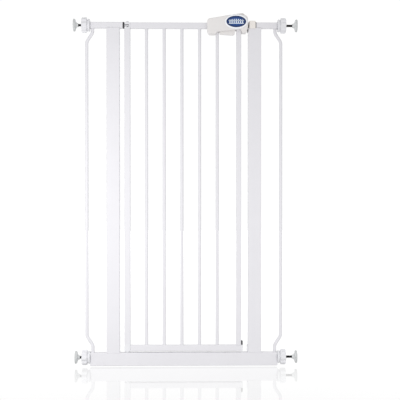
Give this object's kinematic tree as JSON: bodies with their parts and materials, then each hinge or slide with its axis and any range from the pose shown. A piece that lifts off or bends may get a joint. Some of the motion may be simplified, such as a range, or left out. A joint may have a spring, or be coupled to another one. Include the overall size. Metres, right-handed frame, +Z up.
{
  "type": "safety baby gate",
  "caption": "Extra-tall white steel pressure-fit safety gate with a two-way barred door, one-hand slide-and-lift handle, and threaded wall spindles with hand nuts and rubber pads.",
  "frame": {"origin": "on the floor under the middle of the bottom rail", "axes": "+X along the opening towards the latch, +Y through the gate away from the badge, +Z up"},
  "size_m": [0.6775, 0.0466, 1.0675],
  "materials": {
    "white_powder_coat": "white powder coat, satin",
    "white_plastic": "white ABS, satin",
    "white_nylon": "cool white nylon",
    "ivory_plastic": "warm off-white nylon",
    "grey_white_plastic": "light grey nylon",
    "dark_plastic": "dark grey nylon",
    "pale_rubber": "light grey rubber",
    "zinc_plated_steel": "bright zinc plate",
    "dark_zinc_steel": "black zinc plate, rolled thread",
    "spring_steel": "drawn spring wire",
    "blue_badge": "deep blue gloss"
  },
  "bodies": {
    "frame": {"frame_bottom_rail": "white_powder_coat", "hinge_post": "white_powder_coat", "latch_post": "white_powder_coat", "hinge_side_arm": "white_powder_coat", "latch_side_arm": "white_powder_coat", "hinge_side_outer_bar": "white_powder_coat", "latch_side_outer_bar": "white_powder_coat", "hinge_arm_cap": "dark_plastic", "top_hinge_tongue": "white_powder_coat", "keeper": "ivory_plastic", "keeper_buffer": "dark_plastic", "bottom_guide_plate": "white_nylon", "end_plug_hinge_side_top": "white_nylon", "end_plug_hinge_side_bottom": "white_nylon", "end_plug_latch_side_top": "white_nylon", "end_plug_latch_side_bottom": "white_nylon"},
    "hinge_bushes": {"top_hinge_bush": "dark_plastic", "bottom_hinge_bush": "dark_plastic"},
    "door": {"door_top_rail": "white_powder_coat", "door_bottom_rail": "white_powder_coat", "hinge_stile": "white_powder_coat", "latch_stile": "white_powder_coat", "door_bar_1": "white_powder_coat", "door_bar_2": "white_powder_coat", "door_bar_3": "white_powder_coat", "door_bar_4": "white_powder_coat", "door_bar_5": "white_powder_coat", "top_hinge_corner": "white_nylon", "top_hinge_pin": "white_nylon", "bottom_hinge_corner": "white_nylon", "bottom_hinge_peg": "zinc_plated_steel", "latch_block": "white_nylon", "bottom_latch_shoe": "white_nylon", "shoe_buffer": "dark_plastic", "housing_front": "white_plastic", "housing_back": "white_plastic", "housing_screws": "zinc_plated_steel", "badge": "blue_badge", "trigger_pin": "zinc_plated_steel", "latch_spring": "spring_steel"},
    "latch": {"latch_bolt": "zinc_plated_steel", "latch_carriage": "dark_plastic", "thumb_catch": "white_plastic"},
    "trigger": {"trigger_lever": "white_plastic"},
    "nut_hinge_side_top": {"hand_nut_hinge_side_top": "white_nylon"},
    "foot_hinge_side_top": {"spindle_hinge_side_top": "dark_zinc_steel", "pad_hub_hinge_side_top": "grey_white_plastic", "wall_pad_hinge_side_top": "pale_rubber"},
    "nut_hinge_side_bottom": {"hand_nut_hinge_side_bottom": "white_nylon"},
    "foot_hinge_side_bottom": {"spindle_hinge_side_bottom": "dark_zinc_steel", "pad_hub_hinge_side_bottom": "grey_white_plastic", "wall_pad_hinge_side_bottom": "pale_rubber"},
    "nut_latch_side_top": {"hand_nut_latch_side_top": "white_nylon"},
    "foot_latch_side_top": {"spindle_latch_side_top": "dark_zinc_steel", "pad_hub_latch_side_top": "grey_white_plastic", "wall_pad_latch_side_top": "pale_rubber"},
    "nut_latch_side_bottom": {"hand_nut_latch_side_bottom": "white_nylon"},
    "foot_latch_side_bottom": {"spindle_latch_side_bottom": "dark_zinc_steel", "pad_hub_latch_side_bottom": "grey_white_plastic", "wall_pad_latch_side_bottom": "pale_rubber"}
  },
  "joints": [
    {"name": "door_swing", "type": "hinge", "parent": "frame", "child": "hinge_bushes", "pos_m": [-0.171, 0, 0.044], "axis": [0, 0, 1], "range_deg": [-90, 90]},
    {"name": "door_lift", "type": "slide", "parent": "hinge_bushes", "child": "door", "axis": [0, 0, 1], "range_m": [0, 0.004]},
    {"name": "latch_slide", "type": "slide", "parent": "door", "child": "latch", "axis": [1, 0, 0], "range_m": [0, 0.01], "stiffness_N_per_m": 120, "springref_m": 0.016, "deforming": ["latch_spring"]},
    {"name": "trigger_squeeze", "type": "hinge", "parent": "door", "child": "trigger", "pos_m": [0.1112, 0, 1.014], "axis": [0, 1, 0], "range_deg": [0, 8]},
    {"name": "nut_turn_hinge_side_top", "type": "hinge", "parent": "frame", "child": "nut_hinge_side_top", "pos_m": [-0.284, 0, 1.031], "axis": [-1, 0, 0], "range_deg": [-1440, 4320]},
    {"name": "foot_slide_hinge_side_top", "type": "slide", "parent": "frame", "child": "foot_hinge_side_top", "axis": [-1, 0, 0], "range_m": [-0.008, 0.024]},
    {"name": "nut_turn_hinge_side_bottom", "type": "hinge", "parent": "frame", "child": "nut_hinge_side_bottom", "pos_m": [-0.284, 0, 0.025], "axis": [-1, 0, 0], "range_deg": [-720, 5040]},
    {"name": "foot_slide_hinge_side_bottom", "type": "slide", "parent": "frame", "child": "foot_hinge_side_bottom", "axis": [-1, 0, 0], "range_m": [-0.004, 0.028]},
    {"name": "nut_turn_latch_side_top", "type": "hinge", "parent": "frame", "child": "nut_latch_side_top", "pos_m": [0.284, 0, 1.031], "axis": [1, 0, 0], "range_deg": [-3150, 2610]},
    {"name": "foot_slide_latch_side_top", "type": "slide", "parent": "frame", "child": "foot_latch_side_top", "axis": [1, 0, 0], "range_m": [-0.0175, 0.0145]},
    {"name": "nut_turn_latch_side_bottom", "type": "hinge", "parent": "frame", "child": "nut_latch_side_bottom", "pos_m": [0.284, 0, 0.025], "axis": [1, 0, 0], "range_deg": [-3150, 2610]},
    {"name": "foot_slide_latch_side_bottom", "type": "slide", "parent": "frame", "child": "foot_latch_side_bottom", "axis": [1, 0, 0], "range_m": [-0.0175, 0.0145]}
  ],
  "couplings": [
    {"joint": "trigger_squeeze", "follows": "latch_slide", "rad_per_m": 13.963},
    {"joint": "foot_slide_hinge_side_top", "follows": "nut_turn_hinge_side_top", "m_per_rad": 0.00031831},
    {"joint": "foot_slide_hinge_side_bottom", "follows": "nut_turn_hinge_side_bottom", "m_per_rad": 0.00031831},
    {"joint": "foot_slide_latch_side_top", "follows": "nut_turn_latch_side_top", "m_per_rad": 0.00031831},
    {"joint": "foot_slide_latch_side_bottom", "follows": "nut_turn_latch_side_bottom", "m_per_rad": 0.00031831}
  ]
}
